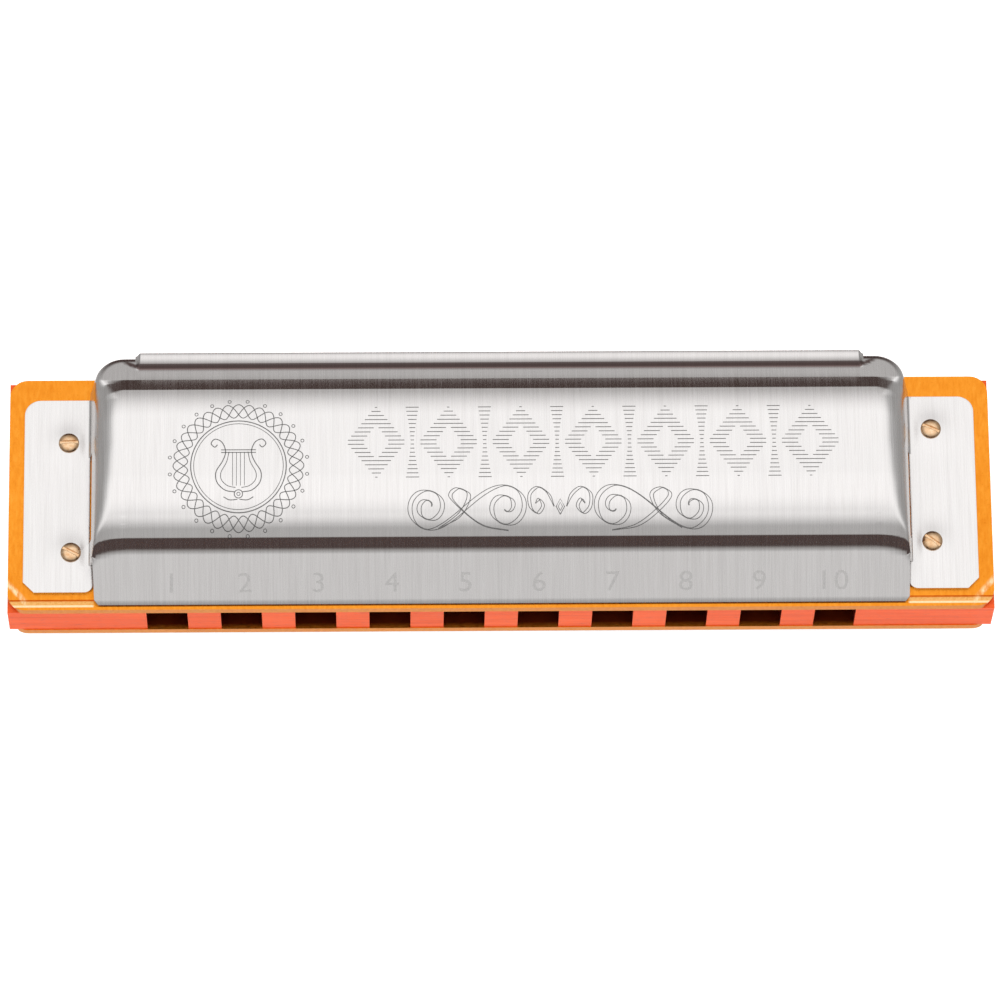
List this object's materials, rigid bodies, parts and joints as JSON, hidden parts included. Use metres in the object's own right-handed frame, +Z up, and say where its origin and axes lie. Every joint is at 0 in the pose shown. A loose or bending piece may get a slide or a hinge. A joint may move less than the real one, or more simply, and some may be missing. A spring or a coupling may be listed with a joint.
{
  "type": "harmonica",
  "caption": "Diatonic harmonica: wooden comb between brass reed plates, pressed steel covers held by slotted screws, and free reeds that each swing through a slot.",
  "frame": {"origin": "centre of the bounding box's bottom face, on the flat crown of the lower cover that the instrument rests on", "axes": "+X along the length from hole 1 to hole 10, +Y from the mouth side to the back, +Z up"},
  "size_m": [0.0996, 0.0258, 0.0196],
  "materials": {
    "comb_wood": "sealed reddish hardwood, satin",
    "reed_plate_brass": "rolled, satin",
    "reed_brass": "filed along its length",
    "rivet_brass": "smooth",
    "pin_brass": "smooth",
    "screw_brass": "polished, slightly dulled",
    "cover_steel": "brushed from front to back, engraved on the upper one"
  },
  "bodies": {
    "body": {"comb": "comb_wood", "upper_reed_plate": "reed_plate_brass", "lower_reed_plate": "reed_plate_brass", "upper_cover": "cover_steel", "lower_cover": "cover_steel", "upper_cover_screw_front_left": "screw_brass", "upper_cover_screw_rear_left": "screw_brass", "upper_cover_screw_front_right": "screw_brass", "upper_cover_screw_rear_right": "screw_brass", "lower_cover_screw_front_left": "screw_brass", "lower_cover_screw_rear_left": "screw_brass", "lower_cover_screw_front_right": "screw_brass", "lower_cover_screw_rear_right": "screw_brass", "upper_plate_pins": "pin_brass", "lower_plate_pins": "pin_brass", "blow_reed_pads": "reed_brass", "blow_reed_rivets": "rivet_brass", "draw_reed_pads": "reed_brass", "draw_reed_rivets": "rivet_brass"},
    "blow_reed_1": {"blow_reed_1": "reed_brass"},
    "blow_reed_2": {"blow_reed_2": "reed_brass"},
    "blow_reed_3": {"blow_reed_3": "reed_brass"},
    "blow_reed_4": {"blow_reed_4": "reed_brass"},
    "blow_reed_5": {"blow_reed_5": "reed_brass"},
    "blow_reed_6": {"blow_reed_6": "reed_brass"},
    "blow_reed_7": {"blow_reed_7": "reed_brass"},
    "blow_reed_8": {"blow_reed_8": "reed_brass"},
    "blow_reed_9": {"blow_reed_9": "reed_brass"},
    "blow_reed_10": {"blow_reed_10": "reed_brass"},
    "draw_reed_1": {"draw_reed_1": "reed_brass"},
    "draw_reed_2": {"draw_reed_2": "reed_brass"},
    "draw_reed_3": {"draw_reed_3": "reed_brass"},
    "draw_reed_4": {"draw_reed_4": "reed_brass"},
    "draw_reed_5": {"draw_reed_5": "reed_brass"},
    "draw_reed_6": {"draw_reed_6": "reed_brass"},
    "draw_reed_7": {"draw_reed_7": "reed_brass"},
    "draw_reed_8": {"draw_reed_8": "reed_brass"},
    "draw_reed_9": {"draw_reed_9": "reed_brass"},
    "draw_reed_10": {"draw_reed_10": "reed_brass"}
  },
  "joints": [
    {"name": "blow_reed_1_swing", "type": "hinge", "parent": "body", "child": "blow_reed_1", "pos_m": [-0.03375, -0.0074, 0.01219], "axis": [1, 0, 0], "range_deg": [-3, 3], "stiffness_Nm_per_rad": 0.0401},
    {"name": "blow_reed_2_swing", "type": "hinge", "parent": "body", "child": "blow_reed_2", "pos_m": [-0.02625, -0.0074, 0.01219], "axis": [1, 0, 0], "range_deg": [-3, 3], "stiffness_Nm_per_rad": 0.0412},
    {"name": "blow_reed_3_swing", "type": "hinge", "parent": "body", "child": "blow_reed_3", "pos_m": [-0.01875, -0.0074, 0.01219], "axis": [1, 0, 0], "range_deg": [-3, 3], "stiffness_Nm_per_rad": 0.0425},
    {"name": "blow_reed_4_swing", "type": "hinge", "parent": "body", "child": "blow_reed_4", "pos_m": [-0.01125, -0.0074, 0.01219], "axis": [1, 0, 0], "range_deg": [-3, 3], "stiffness_Nm_per_rad": 0.0439},
    {"name": "blow_reed_5_swing", "type": "hinge", "parent": "body", "child": "blow_reed_5", "pos_m": [-0.00375, -0.0074, 0.01219], "axis": [1, 0, 0], "range_deg": [-3, 3], "stiffness_Nm_per_rad": 0.0454},
    {"name": "blow_reed_6_swing", "type": "hinge", "parent": "body", "child": "blow_reed_6", "pos_m": [0.00375, -0.0074, 0.01219], "axis": [1, 0, 0], "range_deg": [-3, 3], "stiffness_Nm_per_rad": 0.0472},
    {"name": "blow_reed_7_swing", "type": "hinge", "parent": "body", "child": "blow_reed_7", "pos_m": [0.01125, -0.0074, 0.01219], "axis": [1, 0, 0], "range_deg": [-3, 3], "stiffness_Nm_per_rad": 0.0492},
    {"name": "blow_reed_8_swing", "type": "hinge", "parent": "body", "child": "blow_reed_8", "pos_m": [0.01875, -0.0074, 0.01219], "axis": [1, 0, 0], "range_deg": [-3, 3], "stiffness_Nm_per_rad": 0.0514},
    {"name": "blow_reed_9_swing", "type": "hinge", "parent": "body", "child": "blow_reed_9", "pos_m": [0.02625, -0.0074, 0.01219], "axis": [1, 0, 0], "range_deg": [-3, 3], "stiffness_Nm_per_rad": 0.054},
    {"name": "blow_reed_10_swing", "type": "hinge", "parent": "body", "child": "blow_reed_10", "pos_m": [0.03375, -0.0074, 0.01219], "axis": [1, 0, 0], "range_deg": [-3, 3], "stiffness_Nm_per_rad": 0.057},
    {"name": "draw_reed_1_swing", "type": "hinge", "parent": "body", "child": "draw_reed_1", "pos_m": [-0.03375, 0.0062, 0.00614], "axis": [-1, 0, 0], "range_deg": [-3, 3], "stiffness_Nm_per_rad": 0.0431},
    {"name": "draw_reed_2_swing", "type": "hinge", "parent": "body", "child": "draw_reed_2", "pos_m": [-0.02625, 0.00558, 0.00614], "axis": [-1, 0, 0], "range_deg": [-3, 3], "stiffness_Nm_per_rad": 0.0442},
    {"name": "draw_reed_3_swing", "type": "hinge", "parent": "body", "child": "draw_reed_3", "pos_m": [-0.01875, 0.00496, 0.00614], "axis": [-1, 0, 0], "range_deg": [-3, 3], "stiffness_Nm_per_rad": 0.0455},
    {"name": "draw_reed_4_swing", "type": "hinge", "parent": "body", "child": "draw_reed_4", "pos_m": [-0.01125, 0.00433, 0.00614], "axis": [-1, 0, 0], "range_deg": [-3, 3], "stiffness_Nm_per_rad": 0.0469},
    {"name": "draw_reed_5_swing", "type": "hinge", "parent": "body", "child": "draw_reed_5", "pos_m": [-0.00375, 0.00371, 0.00614], "axis": [-1, 0, 0], "range_deg": [-3, 3], "stiffness_Nm_per_rad": 0.0484},
    {"name": "draw_reed_6_swing", "type": "hinge", "parent": "body", "child": "draw_reed_6", "pos_m": [0.00375, 0.00309, 0.00614], "axis": [-1, 0, 0], "range_deg": [-3, 3], "stiffness_Nm_per_rad": 0.0502},
    {"name": "draw_reed_7_swing", "type": "hinge", "parent": "body", "child": "draw_reed_7", "pos_m": [0.01125, 0.00247, 0.00614], "axis": [-1, 0, 0], "range_deg": [-3, 3], "stiffness_Nm_per_rad": 0.0522},
    {"name": "draw_reed_8_swing", "type": "hinge", "parent": "body", "child": "draw_reed_8", "pos_m": [0.01875, 0.00184, 0.00614], "axis": [-1, 0, 0], "range_deg": [-3, 3], "stiffness_Nm_per_rad": 0.0544},
    {"name": "draw_reed_9_swing", "type": "hinge", "parent": "body", "child": "draw_reed_9", "pos_m": [0.02625, 0.00122, 0.00614], "axis": [-1, 0, 0], "range_deg": [-3, 3], "stiffness_Nm_per_rad": 0.0569},
    {"name": "draw_reed_10_swing", "type": "hinge", "parent": "body", "child": "draw_reed_10", "pos_m": [0.03375, 0.0006, 0.00614], "axis": [-1, 0, 0], "range_deg": [-3, 3], "stiffness_Nm_per_rad": 0.0599}
  ]
}
